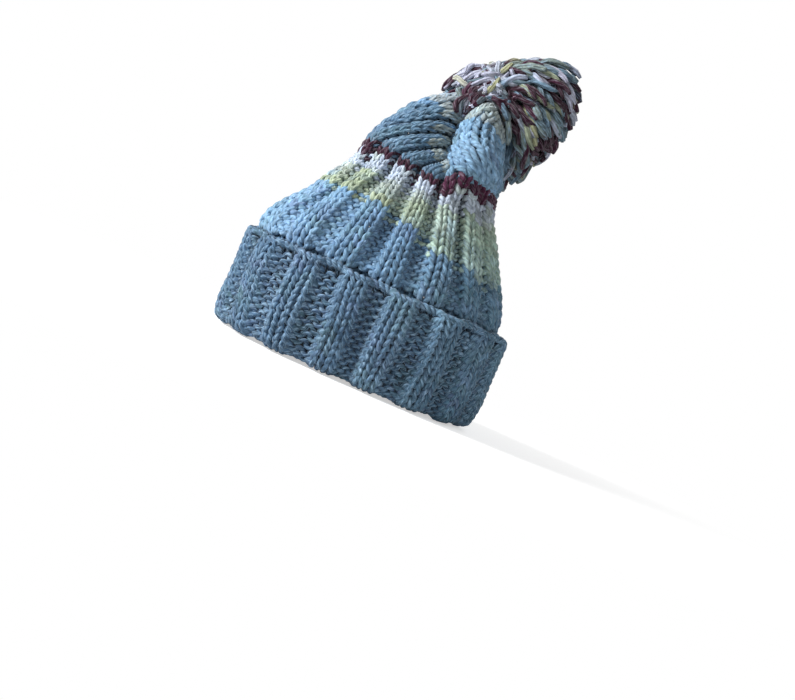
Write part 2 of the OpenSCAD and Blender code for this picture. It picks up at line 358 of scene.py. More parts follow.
def slack_side(share):
    """Share of the way round to the crease, that share of the slump, and the weight of the slack side."""
    away = CREASE_TURN / 360 - share
    away = away - np.floor(away + 0.45)
    q = away / SLUMP_SHARE
    return away, q, smooth(away / 0.02) * (1 - smooth((q - 0.9) / 0.8))


def slumped(share, level):
    """Where the fabric lies: the slack ribs run over into the crease and climb to the tip inside it,
    and the flap's columns spread to follow the crease."""
    away, q, weight = slack_side(share)
    into = np.clip((level - SLUMP_FROM) / (SLUMP_TO - SLUMP_FROM), 0, 1)
    climb = np.minimum(SLUMP_LOW + SLUMP_RISE * q, GATHER_AT)
    after = smooth((level - SLUMP_TO) / (GATHER_AT - SLUMP_TO))
    low = SLUMP_FROM + (climb - SLUMP_FROM) * into + (GATHER_AT - climb) * after
    low = low + np.maximum(0, level - GATHER_AT)
    slack_level = np.where(level < SLUMP_FROM, level, low)
    crease = CREASE_TURN / 360
    to_crease = away + crease_turn(np.maximum(climb, low)) / 360 - crease
    slack_share = share + to_crease * SLUMP_TURN * into**1.1
    flap_share = np.where(away < 0, flap_place(-away, level), share)
    return flap_share + (slack_share - flap_share) * weight, level + (slack_level - level) * weight


def crown_shape(share, level):
    """Middle of the crown's fabric before its ribs are led to the crease."""
    spine = CUFF_SPINE * (1 - smooth(level / UPPER_BLUE_AT))
    r = hermite(OUTLINE, level) - spine
    along, angle = oval(share, spine, r)
    c = crease_share(share, level)
    rho = r - crease_at(level) * c - crease_groove(share, level) + unevenness(share, level)
    full = smooth((level - FULL_FROM) / FULL_RISE) * (1 - smooth((level - FULL_TO) / FULL_FALL))
    rho = rho + full * (LOWER_BULGE + FOREHEAD_BULGE * (0.5 - 0.5 * np.sin(TURN * share)))
    return crown_place(level, rho * np.cos(angle), along + rho * np.sin(angle), sag_at(level) * c)


FLAP_LEVELS = np.linspace(UPPER_BLUE_AT - 2, GATHER_AT + 4, 72)
FLAP_STEPS = 240


def flap_table():
    """Places round the flap at even lengths of fabric, up its wall and over its front, for each level."""
    table = []
    even = np.linspace(0, 1, FLAP_STEPS + 1)
    for level in FLAP_LEVELS:
        first = crease_turn(level) / 360
        places = first + (CREASE_TURN / 360 + FLAP_SHARE - first) * even
        points = crown_shape(places, np.full(len(places), level))
        step = np.linalg.norm(np.diff(points, axis=0), axis=1)
        length = np.concatenate([[0], np.cumsum(step)])
        table.append(np.interp(even * length[-1], length, places))
    return np.array(table)


flap_places = flap_table()


def flap_place(past, level):
    """Where round the hat the fabric lies that is a share past the crease's fabric."""
    i = (level - FLAP_LEVELS[0]) / (FLAP_LEVELS[1] - FLAP_LEVELS[0])
    i = np.clip(i, 0, len(FLAP_LEVELS) - 1.001)
    j = np.clip(past / FLAP_SHARE, 0, 1) * (FLAP_STEPS - 0.001)
    i0, j0 = i.astype(int), j.astype(int)
    u, v = i - i0, j - j0
    low = flap_places[i0, j0] * (1 - v) + flap_places[i0, j0 + 1] * v
    high = flap_places[i0 + 1, j0] * (1 - v) + flap_places[i0 + 1, j0 + 1] * v
    place = low * (1 - u) + high * u
    crease = CREASE_TURN / 360
    inside = smooth((level - UPPER_BLUE_AT + 2) / 8) * (past < FLAP_SHARE)
    return crease + past + (place - crease - past) * inside


def crown_surface(share, level):
    """Middle of the crown's fabric, without its ribs."""
    stray = wander(share, level) * smooth((GATHER_AT - level) / 60)
    return crown_shape(*slumped(share + stray, level))


# The cuff's fabric runs down its outer layer, round the fold and up its inner layer
FOLD_MID_Z = 9.5
FOLD_DROP = 4.8
CUFF_BULGE = 2.2
OUTER_TOP_Z = CUFF_H - 4.0
OUTER_RUN = OUTER_TOP_Z - FOLD_MID_Z
FOLD_RUN = math.pi * (LAYER_STEP / 2 + FOLD_DROP) / 2
INNER_RUN = CUFF_H - FOLD_MID_Z


def cuff_surface(share, run):
    """Middle of the cuff's fabric at a run down from the cast-on edge."""
    turn = math.pi * np.clip((run - OUTER_RUN) / FOLD_RUN, 0, 1)
    full = np.sin(math.pi * np.clip(run / OUTER_RUN, 0, 1))
    calm = smooth((run - 0.7 * OUTER_RUN) / (0.3 * OUTER_RUN))
    soft = CUFF_BULGE * full + unevenness(share, run) * (1 - calm)
    off = LAYER_STEP / 2 * (1 + np.cos(turn)) + soft
    share = share + wander(share, run)
    up = np.maximum(0, run - OUTER_RUN - FOLD_RUN)
    z = OUTER_TOP_Z - np.minimum(run, OUTER_RUN) - FOLD_DROP * np.sin(turn) + up
    along, angle = oval(share, CUFF_SPINE, CUFF_R)
    r = CUFF_R + off
    return np.stack([r * np.cos(angle), along + r * np.sin(angle), z], -1)


def unit(v):
    return v / np.linalg.norm(v, axis=-1, keepdims=True)


# Small steps on a surface, for its directions
SHARE_STEP = 0.002
RUN_STEP = 0.8


def lifted(surface, share, run, depth):
    """Points lifted off a surface on its right side, the directions off it and the length once round."""
    across = surface(share + SHARE_STEP, run) - surface(share - SHARE_STEP, run)
    along = surface(share, run + RUN_STEP) - surface(share, run - RUN_STEP)
    out = unit(np.cross(across, along))
    once_round = np.linalg.norm(across, axis=-1) / (2 * SHARE_STEP)
    return surface(share, run) + depth[..., None] * out, out, once_round


def knit_share(surface, run, share):
    """Share of a rib's pitch that its two knit columns take; it grows toward the tip and the back."""
    if surface is cuff_surface:
        return 0.5 + 0 * run
    high = smooth((run - WHITE_AT) / (UPPER_BLUE_AT + 8 - WHITE_AT))
    back = smooth((np.sin(TURN * share) - 0.15) / 0.6) * smooth((run - 10) / 45)
    more = KNIT_MORE - KNIT_SLACK * slack_side(share)[2]
    return KNIT_LOW + more * high + KNIT_BACK * back * (1 - high)


def rib_height(surface, phase, knit, run, share):
    """How far the ribs raise the fabric at a phase of the rib's pitch."""
    middle = phase - knit / 2
    middle = middle - np.round(middle)
    flat = 1 - 2 * smooth((np.abs(middle) - knit / 2 + RIB_EDGE) / (2 * RIB_EDGE))
    if surface is cuff_surface:
        turned = np.clip((run - OUTER_RUN) / FOLD_RUN, 0, 1)
        relief = CUFF_RELIEF + (INNER_RELIEF - CUFF_RELIEF) * smooth(turned)
        return (relief - FOLD_PRESS * np.sin(math.pi * turned)) * flat
    high = smooth((run - WHITE_AT) / (UPPER_BLUE_AT + 6 - WHITE_AT))
    slack = slack_side(share)[2] * high
    round_ = np.sqrt(np.maximum(0, 1 - (ROLL_NARROW * middle) ** 2))
    roll = SLACK_RELIEF * (ROLL_HEIGHT * round_ - ROLL_DROP)
    part = PART_DEPTH * high * np.exp(-((middle / PART_HALF) ** 2))
    gathered = (0.35 + 0.65 * smooth((GATHER_AT - run) / 24)) * (0.3 + 0.7 * smooth(run / 16))
    return (CROWN_RELIEF * (flat - part) * (1 - slack) + roll * slack) * gathered


def column_face(stitch):
    """1 for a knit column and -1 for a purl column: two of each, in turn."""
    return np.where(stitch % 4 < 2, 1.0, -1.0)


def course(surface, at, row, n, yarn_r, jitter):
    """One course of loops: points, directions off the fabric, radii, and each point's stitch and
    painted-shade depth.
    """
    t = TURN * np.arange(STITCHES * n) / n
    stitch = np.arange(STITCHES * n) // n
    knit = column_face(stitch)
    step_before = knit != column_face(stitch - 1)
    step_after = knit != column_face(stitch + 1)
    local = t - TURN * stitch
    side = np.where(step_before, smooth(local / STEP_TURN), 1)
    side = side * np.where(step_after, smooth((TURN - local) / STEP_TURN), 1)
    x = (local + LOOP_NECK * np.sin(2 * local)) / TURN
    # The legs next to a step between knit and purl columns close up to it
    x = x + STEP_LEAN * step_after * smooth((x - 0.45) / 0.3) * smooth((1 - x) / 0.14)
    x = x - STEP_LEAN * step_before * smooth((0.55 - x) / 0.3) * smooth(x / 0.14)
    lean = jitter["lean"][stitch] * np.sin(local)
    rise = jitter["rise"][stitch] * np.sin(local / 2) ** 2
    run = at + row * (-LOOP_HEIGHT * np.cos(local) + lean + rise)
    k = knit_share(surface, run, (stitch // 4) / RIB_COUNT)
    starts = np.stack([0 * k, k / 2, k, (1 + k) / 2, 0 * k + 1], -1)
    place = stitch % 4
    low = np.take_along_axis(starts, place[:, None], -1)[:, 0]
    high = np.take_along_axis(starts, place[:, None] + 1, -1)[:, 0]
    phase = low + (high - low) * (x + jitter["slide"][stitch] * np.sin(local / 2) ** 2)
    share = (stitch // 4 + phase - k / 2) / RIB_COUNT
    loop = -LOOP_DEPTH * np.cos(2 * local) * knit * side
    ribs = rib_height(surface, phase, k, run, share)
    points, out, once_round = lifted(surface, share, run, ribs + loop)
    width = (high - low) * once_round / RIB_COUNT
    plump = 1 + LOOP_PLUMP * knit * -np.cos(2 * local) + STEP_FILL * (1 - side)
    radius = np.clip(YARN_SHARE * width, YARN_LEAST_R, yarn_r) * plump * jitter["plump"][stitch]
    # Depth for the painted shade: loops and ribs that lie low in the fabric are painted darker, the slack
    # side more so
    if surface is cuff_surface:
        return points, out, radius, stitch, loop + CUFF_RIB_SHADE * ribs
    slack = slack_side(share)[2] * (run > UPPER_BLUE_AT)
    shade_depth = loop + (RIB_SHADE + SLACK_RIB_SHADE * slack) * ribs - SLACK_SHADE * slack
    return points, out, radius, stitch, shade_depth


def round_tubes(paths, outs, radii, sides, closed):
    """Rings of points round paths, the length along each path and the angles round it."""
    if closed:
        tangent = np.roll(paths, -1, 1) - np.roll(paths, 1, 1)
    else:
        tangent = np.gradient(paths, axis=1)
    tangent /= np.linalg.norm(tangent, axis=-1, keepdims=True) + 1e-9
    side = np.cross(tangent, outs)
    side /= np.linalg.norm(side, axis=-1, keepdims=True) + 1e-9
    up = np.cross(side, tangent)
    angle = TURN * np.arange(sides) / sides
    ring = np.cos(angle)[:, None] * up[:, :, None] + np.sin(angle)[:, None] * side[:, :, None]
    points = paths[:, :, None] + radii[:, :, None, None] * ring
    step = np.linalg.norm(np.roll(paths, -1, 1) - paths, axis=-1)
    length = np.concatenate([np.zeros((len(paths), 1)), np.cumsum(step, 1)], 1)
    return points, length, angle


# Each yarn's strip of the flat layout: its margin and how much of its width it fills
STRIP_FROM = 0.04
STRIP_FILL = 0.92


def yarn_mesh(name, paths, outs, radii, dyes, shade_depths=None, face=1, sides=YARN_SIDES, closed=True):
    """A mesh of yarn tubes, their dye with painted shade, a yarn map for the twist and a flat layout for
    baking.
    """
    points, length, angle = round_tubes(paths, outs, radii, sides, closed)
    count, n = paths.shape[:2]
    spans = n if closed else n - 1
    c, i, j = np.meshgrid(np.arange(count), np.arange(spans), np.arange(sides), indexing="ij")
    i2, j2 = (i + 1) % n, (j + 1) % sides

    def index(a, b):
        return (c * n + a) * sides + b

    quads = np.stack([index(i, j), index(i, j2), index(i2, j2), index(i2, j)], -1).reshape(-1, 4)
    # Corners of the two maps, in the order of the faces' corners
    along = np.stack([length[c, i], length[c, i], length[c, i + 1], length[c, i + 1]], -1)
    around = np.stack([j, j + 1, j + 1, j], -1) / sides
    strip_u = np.stack([i, i, i + 1, i + 1], -1) / spans
    strip_v = (c[..., None] + STRIP_FROM + STRIP_FILL * around) / count
    yarn_uv = np.stack([along / PLY_LENGTH, around], -1).reshape(-1, 2)
    bake_uv = np.stack([strip_u, strip_v], -1).reshape(-1, 2)
    vertices = points.reshape(-1, 3)
    colours = np.repeat(dyes.reshape(-1, 3), sides, 0)
    # Painted shade: yarn low in the fabric, and each tube's side that faces into it, is painted darker
    # and bluer
    if shade_depths is not None:
        height = face * (shade_depths[..., None] + radii[..., None] * np.cos(angle))
        shade = DEEP_SHADE + (1 - DEEP_SHADE) * smooth((height - SHADE_FROM) / SHADE_RUN)
        colours = colours * shade.reshape(-1, 1) ** SHADE_TINT
    caps = None if closed else end_caps(count, n, sides)
    return build_mesh(name, vertices, quads, colours, yarn_uv, bake_uv, caps)


def end_caps(count, n, sides):
    """Ring indices of the open ends, each to be closed by one many-sided face."""
    first = (np.arange(count)[:, None] * n) * sides + np.arange(sides)[::-1]
    last = (np.arange(count)[:, None] * n + n - 1) * sides + np.arange(sides)
    return np.concatenate([first, last])


def build_mesh(name, vertices, quads, colours, yarn_uv, bake_uv, caps):
    """A piece from its points, faces, colours and maps; caps close the ends of open yarn."""
    mesh = bpy.data.meshes.new(name)
    cap_corners = 0 if caps is None else caps.size
    cap_count = 0 if caps is None else len(caps)
    mesh.vertices.add(len(vertices))
    mesh.vertices.foreach_set("co", (vertices * MM).astype(np.float32).ravel())
    mesh.loops.add(quads.size + cap_corners)
    corners = quads.ravel() if caps is None else np.concatenate([quads.ravel(), caps.ravel()])
    mesh.loops.foreach_set("vertex_index", corners.astype(np.int32))
    mesh.polygons.add(len(quads) + cap_count)
    starts = np.arange(len(quads)) * 4
    if cap_count:
        starts = np.concatenate([starts, quads.size + np.arange(cap_count) * caps.shape[1]])
    mesh.polygons.foreach_set("loop_start", starts.astype(np.int32))
    mesh.polygons.foreach_set("use_smooth", np.ones(len(starts), bool))
    for label, uv in (("yarn", yarn_uv), ("OFBake", bake_uv)):
        layer = mesh.uv_layers.new(name=label)
        flat = np.zeros((quads.size + cap_corners, 2), np.float32)
        flat[: quads.size] = uv
        layer.data.foreach_set("uv", flat.ravel())
    dye = mesh.color_attributes.new("dye", "FLOAT_COLOR", "POINT")
    solid = np.column_stack([colours, np.ones(len(colours))])
    dye.data.foreach_set("color", solid.astype(np.float32).ravel())
    mesh.update(calc_edges=True)
    mesh.validate()
    piece = bpy.data.objects.new(name, mesh)
    bpy.context.scene.collection.objects.link(piece)
    return piece


def soft_noise(stitch, at, scale, seed):
    """Slow random change from stitch to stitch and course to course, from -1 to 1."""
    wave = np.random.default_rng(seed)
    total = 0
    for _ in range(5):
        f_round, f_up, turn = wave.integers(1, 9), wave.normal(0, 1.0), wave.uniform(0, TURN)
        total = total + np.sin(TURN * f_round * stitch / STITCHES + f_up * at / scale + turn)
    return total / 3


def heather(base, n, spread):
    """Small brightness differences between stitches of one dye."""
    return base * np.exp(rng.normal(0, spread, n))[:, None]


def blue_dye(stitch, at, pale=0.0):
    n = len(stitch)
    share = stitch / STITCHES
    toward_back = smooth((np.sin(TURN * share) + 0.25) / 1.2)
    dye = mix(np.broadcast_to(BLUE, (n, 3)), TEAL, 0.55 * toward_back)
    dye = mix(dye, BLUE_PALE, np.clip(0.16 + pale + 0.42 * soft_noise(stitch, at, 9, 3), 0, 0.85))
    dye = mix(dye, LAVENDER, np.clip(0.24 * rng.normal(-0.3, 1, n), 0, 0.5))
    sea = 0.20 * rng.normal(0, 1, n) + 0.25 * soft_noise(stitch, at, 6, 11)
    dye = mix(dye, SEA, np.clip(sea, 0, 0.6))
    return heather(dye, n, 0.10)


def yellow_dye(stitch, at):
    n = len(stitch)
    toward_back = smooth((np.sin(TURN * stitch / STITCHES) + 0.4) / 1.2)
    # Toward the back the yarn turns moss and then sage green, mixed brighter as painted light where the
    # lamps reach less
    dye = mix(np.broadcast_to(YELLOW, (n, 3)), MOSS_PAINTED_LIGHT, 0.7 * toward_back)
    rise = smooth((at - YELLOW_AT) / (BURGUNDY_AT - YELLOW_AT))
    pale = 0.05 + 0.35 * rise * (1 - 0.6 * toward_back) + 0.35 * soft_noise(stitch, at, 7, 5)
    dye = mix(dye, WHITE, np.clip(pale, 0, 0.7))
    dye = mix(dye, SAGE_PAINTED_LIGHT, 0.5 * toward_back * (1 - 0.7 * rise))
    dye = mix(dye, BLUE_PALE, np.clip(0.16 * rng.normal(0.3 - 0.8 * toward_back, 1, n), 0, 0.5))
    return heather(dye, n, 0.15)


def white_dye(stitch):
    n = len(stitch)
    toward_back = smooth(np.sin(TURN * stitch / STITCHES))
    dye = mix(np.broadcast_to(WHITE, (n, 3)), BLUE_PALE, np.full(n, 0.2))
    dye = mix(dye, SILVER, 0.6 * toward_back)
    dye = mix(dye, YELLOW, np.clip(0.3 * rng.normal(0.2, 1, n), 0, 0.5))
    return heather(dye, n, 0.13)


def burgundy_dye(stitch):
    n = len(stitch)
    slack = slack_side(stitch / STITCHES)[2]
    # Painted shade: the burgundy is darker on the slack side
    return heather(BURGUNDY * (1.1 - 0.4 * slack)[:, None], n, 0.18)


def cuff_dye(stitch, at):
    """The cuff's yarn is a darker stretch of the blue, with painted light toward the back, where the
    lamps reach it less.
    """
    back = np.sin(TURN * stitch / STITCHES)
    return blue_dye(stitch, at) * (0.65 - 0.03 * smooth(-back) + 0.2 * smooth(back))[:, None]


# How much lower the yellow-green starts toward the back, how far each stitch's change of colour strays,
# and how much sooner the tip's colour comes in the slack and up the flap
BAND_SHIFT = 22
COLOUR_DRIFT = 0.96
SLACK_EARLY = 21
FLAP_EARLY = 13


def band_shift(stitch):
    """How much lower the yellow-green starts toward the back, on the wearer's left."""
    turn = TURN * (stitch / STITCHES)
    return BAND_SHIFT * smooth((np.sin(turn) + 0.6) / 1.6) * smooth((np.cos(turn) + 0.6) / 0.8)


def flap_front(stitch):
    """Columns that run up the front of the flap."""
    past = stitch / STITCHES - CREASE_TURN / 360
    past = past - np.floor(past + 0.5)
    return smooth(past / 0.02) * (1 - smooth((past - 0.15) / 0.1))


def early_tip(stitch):
    """How much sooner a column turns to the tip's yellow-green: at the slack's ends and up the flap."""
    away = CREASE_TURN / 360 - stitch / STITCHES
    away = away - np.floor(away + 0.5)
    slack = smooth(away / 0.02) * (1 - smooth((away - 0.36) / 0.06)) * (1 + 0.4 * np.sin(stitch * 1.9))
    return SLACK_EARLY * slack + FLAP_EARLY * flap_front(stitch)


def crown_blue(stitch, at):
    """The crown's blue is paler at the forehead and on the flap, and darker in the slack between, as
    painted shade.
    """
    share = stitch / STITCHES
    slack = slack_side(share)[2]
    if at < YELLOW_AT:
        front = smooth(-np.sin(TURN * share))
        return blue_dye(stitch, at, 0.75 * front) * (0.92 + 0.12 * front)[:, None]
    dye = blue_dye(stitch, at, 0.55 * flap_front(stitch))
    # Painted shade: the slack side is mixed toward teal and darker
    return mix(dye, TEAL, 0.35 * slack) * (1 - 0.24 * slack)[:, None]


def tip_dye(stitch, at):
    """The tip is pale yellow-green, and olive darkened as painted shade where the slack ends in the
    crease.
    """
    dye = mix(yellow_dye(stitch, at), WHITE, np.full(len(stitch), 0.4))
    return 0.86 * mix(dye, OLIVE_PAINTED_SHADE, 0.45 * slack_side(stitch / STITCHES)[2])


def crown_dye(stitch, at):
    """Dye of each stitch of a course at a level: the yarn changes colour a little up and down the hat."""
    level = at + COLOUR_DRIFT * rng.normal(0, 1, len(stitch))
    low = level + band_shift(stitch)
    stripe = at + rng.uniform(-2, 3, len(stitch))
    slack = slack_side(stitch / STITCHES)[2]
    dye = crown_blue(stitch, at)
    steps = [
        (low - YELLOW_AT, yellow_dye(stitch, at)),
        (level - WHITE_AT + 0.16 * band_shift(stitch), white_dye(stitch)),
        (stripe - BURGUNDY_AT - 4 + 2.5 * flap_front(stitch), burgundy_dye(stitch)),
        (at - UPPER_BLUE_AT + 5 * slack, crown_blue(stitch, at)),
        (level - TIP_AT + early_tip(stitch), tip_dye(stitch, at)),
    ]
    for past, colour in steps:
        dye = np.where((past > 0)[:, None], colour, dye)
    return dye


def course_jitter():
    """Small differences between the stitches of one course."""
    return {
        "lean": rng.normal(0, 0.035, STITCHES),
        "rise": rng.normal(0, 0.04, STITCHES),
        "slide": rng.normal(0, 0.025, STITCHES),
        "plump": 1 + rng.normal(0, 0.04, STITCHES),
    }


def stacked(made):
    """One array of each thing that every yarn in a list has."""
    return [np.array(a) for a in zip(*made)]


def knit_band(
    name, surface, start, end, rows, dye,
    yarn_r=YARN_R, n=STEPS_PER_STITCH, sides=YARN_SIDES, shaded=True,
):
    """Courses of loops between two places along a surface; the cuff shows the fabric's other face."""
    face = -1 if surface is cuff_surface else 1
    row = (end - start) / rows
    made = []
    for k in range(rows):
        at = start + (k + 0.5) * row
        path, out, radius, stitch, shade_depth = course(surface, at, row, n, yarn_r, course_jitter())
        made.append((path, out, radius, dye(np.arange(STITCHES), at)[stitch], shade_depth))
    *arrays, shade_depths = stacked(made)
    return yarn_mesh(name, *arrays, shade_depths=shade_depths if shaded else None, face=face, sides=sides)


def make_camera():
    azimuth, elevation = math.radians(CAMERA_AZIMUTH), math.radians(CAMERA_ELEVATION)
    toward = Vector((
        math.cos(elevation) * math.sin(azimuth),
        -math.cos(elevation) * math.cos(azimuth),
        math.sin(elevation),
    ))
    place = Vector(CAMERA_ABOUT) + toward * CAMERA_DISTANCE
    ahead = (Vector(CAMERA_AIM) - place).normalized()
    right = ahead.cross(Vector((0, 0, 1))).normalized()
    up = right.cross(ahead)
    c, s = math.cos(math.radians(CAMERA_ROLL)), math.sin(math.radians(CAMERA_ROLL))
    right, up = c * right + s * up, c * up - s * right
    lens = bpy.data.cameras.new("camera")
    lens.sensor_width = SENSOR_MM
    lens.lens = SENSOR_MM * FOCAL_PX / PICTURE_W
    camera = bpy.data.objects.new("camera", lens)
    turned = Matrix((right, up, -ahead)).transposed().to_4x4()
    camera.matrix_world = Matrix.Translation(place * MM) @ turned
    bpy.context.scene.collection.objects.link(camera)
    bpy.context.scene.camera = camera


def link(tree, a, b):
    tree.links.new(a, b)


def yarn_group():
    """Twist, fibres, heather and painted ply shade of a plied yarn, from its dye and its yarn map."""
    group = bpy.data.node_groups.new("plied_yarn", "ShaderNodeTree")
    for label, kind, value in (
        ("Dye", "NodeSocketColor", None),
        ("Fleck", "NodeSocketColor", None),
        ("Fleck Amount", "NodeSocketFloat", 0.3),
        ("Plies", "NodeSocketFloat", 3.0),
        ("Twist", "NodeSocketFloat", 1.5),
    ):
        socket = group.interface.new_socket(label, in_out="INPUT", socket_type=kind)
        if value is not None:
            socket.default_value = value
    for label, kind in (
        ("Color", "NodeSocketColor"),
        ("Height", "NodeSocketFloat"),
        ("Roughness", "NodeSocketFloat"),
    ):
        group.interface.new_socket(label, in_out="OUTPUT", socket_type=kind)
    given = group.nodes.new("NodeGroupInput")
    done = group.nodes.new("NodeGroupOutput")

    def node(kind, **settings):
        made = group.nodes.new(kind)
        for key, value in settings.items():
            setattr(made, key, value)
        return made

    def feed(socket, value):
        """Set a constant on a socket, or link what feeds it."""
        if isinstance(value, (int, float)):
            socket.default_value = value
        else:
            link(group, value, socket)

    def math_node(operation, *values):
        made = node("ShaderNodeMath", operation=operation)
        for socket, value in zip(made.inputs, values):
            feed(socket, value)
        return made.outputs[0]

    def noise(place, scale, detail):
        made = node("ShaderNodeTexNoise")
        made.inputs["Scale"].default_value = scale
        made.inputs["Detail"].default_value = detail
        link(group, place, made.inputs["Vector"])
        return made.outputs[0]

    def ranged(value, low, high, to_low, to_high):
        made = node("ShaderNodeMapRange")
        made.inputs["From Min"].default_value = low
        made.inputs["From Max"].default_value = high
        made.inputs["To Min"].default_value = to_low
        made.inputs["To Max"].default_value = to_high
        link(group, value, made.inputs["Value"])
        return made.outputs[0]

    def mixed(blend, factor, a, b):
        made = node("ShaderNodeMix", data_type="RGBA", blend_type=blend)
        feed(made.inputs["Factor"], factor)
        link(group, a, made.inputs["A"])
        link(group, b, made.inputs["B"])
        return made.outputs["Result"]

    split = node("ShaderNodeSeparateXYZ")
    link(group, node("ShaderNodeUVMap", uv_map="yarn").outputs[0], split.inputs[0])
    length, around = split.outputs[0], split.outputs[1]
    # The plies wind round the yarn: their phase is the angle plus the length
    wound = math_node("MULTIPLY", length, given.outputs["Twist"])
    twist = math_node("MULTIPLY_ADD", around, given.outputs["Plies"], wound)
    ply = math_node("ABSOLUTE", math_node("SINE", math_node("MULTIPLY", twist, math.pi)))
    fibre_place = node("ShaderNodeCombineXYZ")
    link(group, math_node("MULTIPLY", twist, 3.5), fibre_place.inputs[0])
    link(group, math_node("MULTIPLY", length, 1.6), fibre_place.inputs[1])
    fibre = noise(fibre_place.outputs[0], 1.0, 3.0)
    patch = noise(node("ShaderNodeTexCoord").outputs["Object"], 260.0, 2.0)
    # Painted shade between the plies and painted highlight on them; paler where loose fibres catch the
    # light
    shade = mixed("MULTIPLY", 1.0, given.outputs["Dye"], ranged(ply, 0.0, 0.9, 0.74, 1.12))
    streak = math_node("MULTIPLY", ranged(fibre, 0.50, 0.66, 0.0, 1.0), given.outputs["Fleck Amount"])
    fleck = mixed("MIX", streak, shade, given.outputs["Fleck"])
    clouded = mixed("MULTIPLY", 1.0, fleck, ranged(patch, 0.3, 0.7, 0.74, 1.22))
    link(group, clouded, done.inputs["Color"])
    link(group, math_node("MULTIPLY_ADD", fibre, 0.45, ply), done.inputs["Height"])
    link(group, ranged(fibre, 0.0, 1.0, 0.95, 0.72), done.inputs["Roughness"])
    return group


def yarn_material(name, group, fleck, amount, plies=3.0, twist=1.5, bump=0.6):
    """Matte yarn with a soft sheen, in the dye that its mesh carries."""
    material = bpy.data.materials.new(name)
    material.use_nodes = True
    tree = material.node_tree
    shader = tree.nodes["Principled BSDF"]
    shader.inputs["Specular IOR Level"].default_value = 0.15
    shader.inputs["Sheen Weight"].default_value = 0.15
    shader.inputs["Sheen Roughness"].default_value = 0.5
    dye = tree.nodes.new("ShaderNodeAttribute")
    dye.attribute_name = "dye"
    yarn = tree.nodes.new("ShaderNodeGroup")
    yarn.node_tree = group
    yarn.inputs["Fleck"].default_value = (*fleck, 1)
    yarn.inputs["Fleck Amount"].default_value = amount
    yarn.inputs["Plies"].default_value = plies
    yarn.inputs["Twist"].default_value = twist
    relief = tree.nodes.new("ShaderNodeBump")
    relief.inputs["Strength"].default_value = bump
    relief.inputs["Distance"].default_value = 0.0007
    link(tree, dye.outputs["Color"], yarn.inputs["Dye"])
    link(tree, yarn.outputs["Color"], shader.inputs["Base Color"])
    link(tree, yarn.outputs["Roughness"], shader.inputs["Roughness"])
    link(tree, yarn.outputs["Height"], relief.inputs["Height"])
    link(tree, relief.outputs[0], shader.inputs["Normal"])
    return material


def dress(piece, made, slot, node):
    """Give a piece its yarn in a new slot, and hide the solid that it stands for."""
    piece.data.materials.append(made[slot])
    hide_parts(node)


make_camera()

plied = yarn_group()
# Colour and amount of the pale fibres in each yarn; cut strands lose most of their twist
FLECKS = {
    "blue_yarn": ((0.36, 0.54, 0.72), 0.62),
    "yellow_green_yarn": ((0.66, 0.68, 0.50), 0.35),
    "white_yarn": ((0.80, 0.82, 0.88), 0.30),
    "burgundy_yarn": ((0.42, 0.38, 0.45), 0.30),
    "tie_yarn": ((0.50, 0.55, 0.62), 0.30),
}
CUT = {"plies": 4.0, "twist": 0.35, "bump": 1.0}
yarns = {slot: yarn_material(slot, plied, *fleck) for slot, fleck in FLECKS.items()}
cut_yarns = {slot: yarn_material(f"{slot}_cut", plied, *fleck, **CUT) for slot, fleck in FLECKS.items()}

# Cuff bands: name, from, to, courses, node and mesh; the inner layer's yarn is plainer, without painted
# shade
CUFF_ROWS = 11
FOLD_ROWS = 3
FOLD_END = OUTER_RUN + FOLD_RUN
INNER_MESH = {"n": 12, "sides": 6, "shaded": False}
CUFF_BANDS = [
    ("cuff_outer_knit", 0, OUTER_RUN, CUFF_ROWS, "cuff_outer", {}),
    ("cuff_fold_knit", OUTER_RUN, FOLD_END, FOLD_ROWS, "cuff_fold", {}),
    ("cuff_inner_knit", FOLD_END, FOLD_END + INNER_RUN, CUFF_ROWS, "cuff_inner", INNER_MESH),
]
for name, start, end, rows, node, mesh in CUFF_BANDS:
    piece = knit_band(name, cuff_surface, start, end, rows, cuff_dye, **mesh)
    dress(piece, yarns, "blue_yarn", node)
    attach(piece, "hat_base")

# Crown bands: name, from, to, courses, slot, node
CROWN_BANDS = [
    ("crown_blue_knit", 0, YELLOW_AT, 9, "blue_yarn", "crown_blue_band"),
    ("crown_yellow_knit", YELLOW_AT, WHITE_AT, 4, "yellow_green_yarn", "crown_yellow_band"),
    ("crown_white_knit", WHITE_AT, BURGUNDY_AT, 2, "white_yarn", "crown_white_band"),
    ("crown_burgundy_knit", BURGUNDY_AT, UPPER_BLUE_AT, 3, "burgundy_yarn", "crown_burgundy_band"),
    ("crown_upper_blue_knit", UPPER_BLUE_AT, TIP_AT, 9, "blue_yarn", "crown_upper_blue_band"),
    ("crown_tip_knit", TIP_AT, GATHER_AT, 3, "yellow_green_yarn", "crown_tip_band"),
]
for name, start, end, rows, slot, node in CROWN_BANDS:
    yarn_r = YARN_R if start < UPPER_BLUE_AT else TOP_YARN_R
    piece = knit_band(name, crown_surface, start, end, rows, crown_dye, yarn_r)
    dress(piece, yarns, slot, node)
    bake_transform(piece)


# Cast-on edge: two strands twisted along the top of the cuff's outer layer, up and down with its ribs
CAST_ON_STEPS = 12
CAST_ON_R = 1.75
CAST_ON_TWIST = 1.5
CAST_ON_RUN = -1.6
CAST_ON_DIP = 0.9
CAST_ON_STRAY = 0.7
CAST_ON_RELIEF = 0.8
CAST_ON_SHADE = 0.4


def spun(turn, a, b):
    """Directions at angles from a toward b."""
    return np.cos(turn)[:, None] * a + np.sin(turn)[:, None] * b


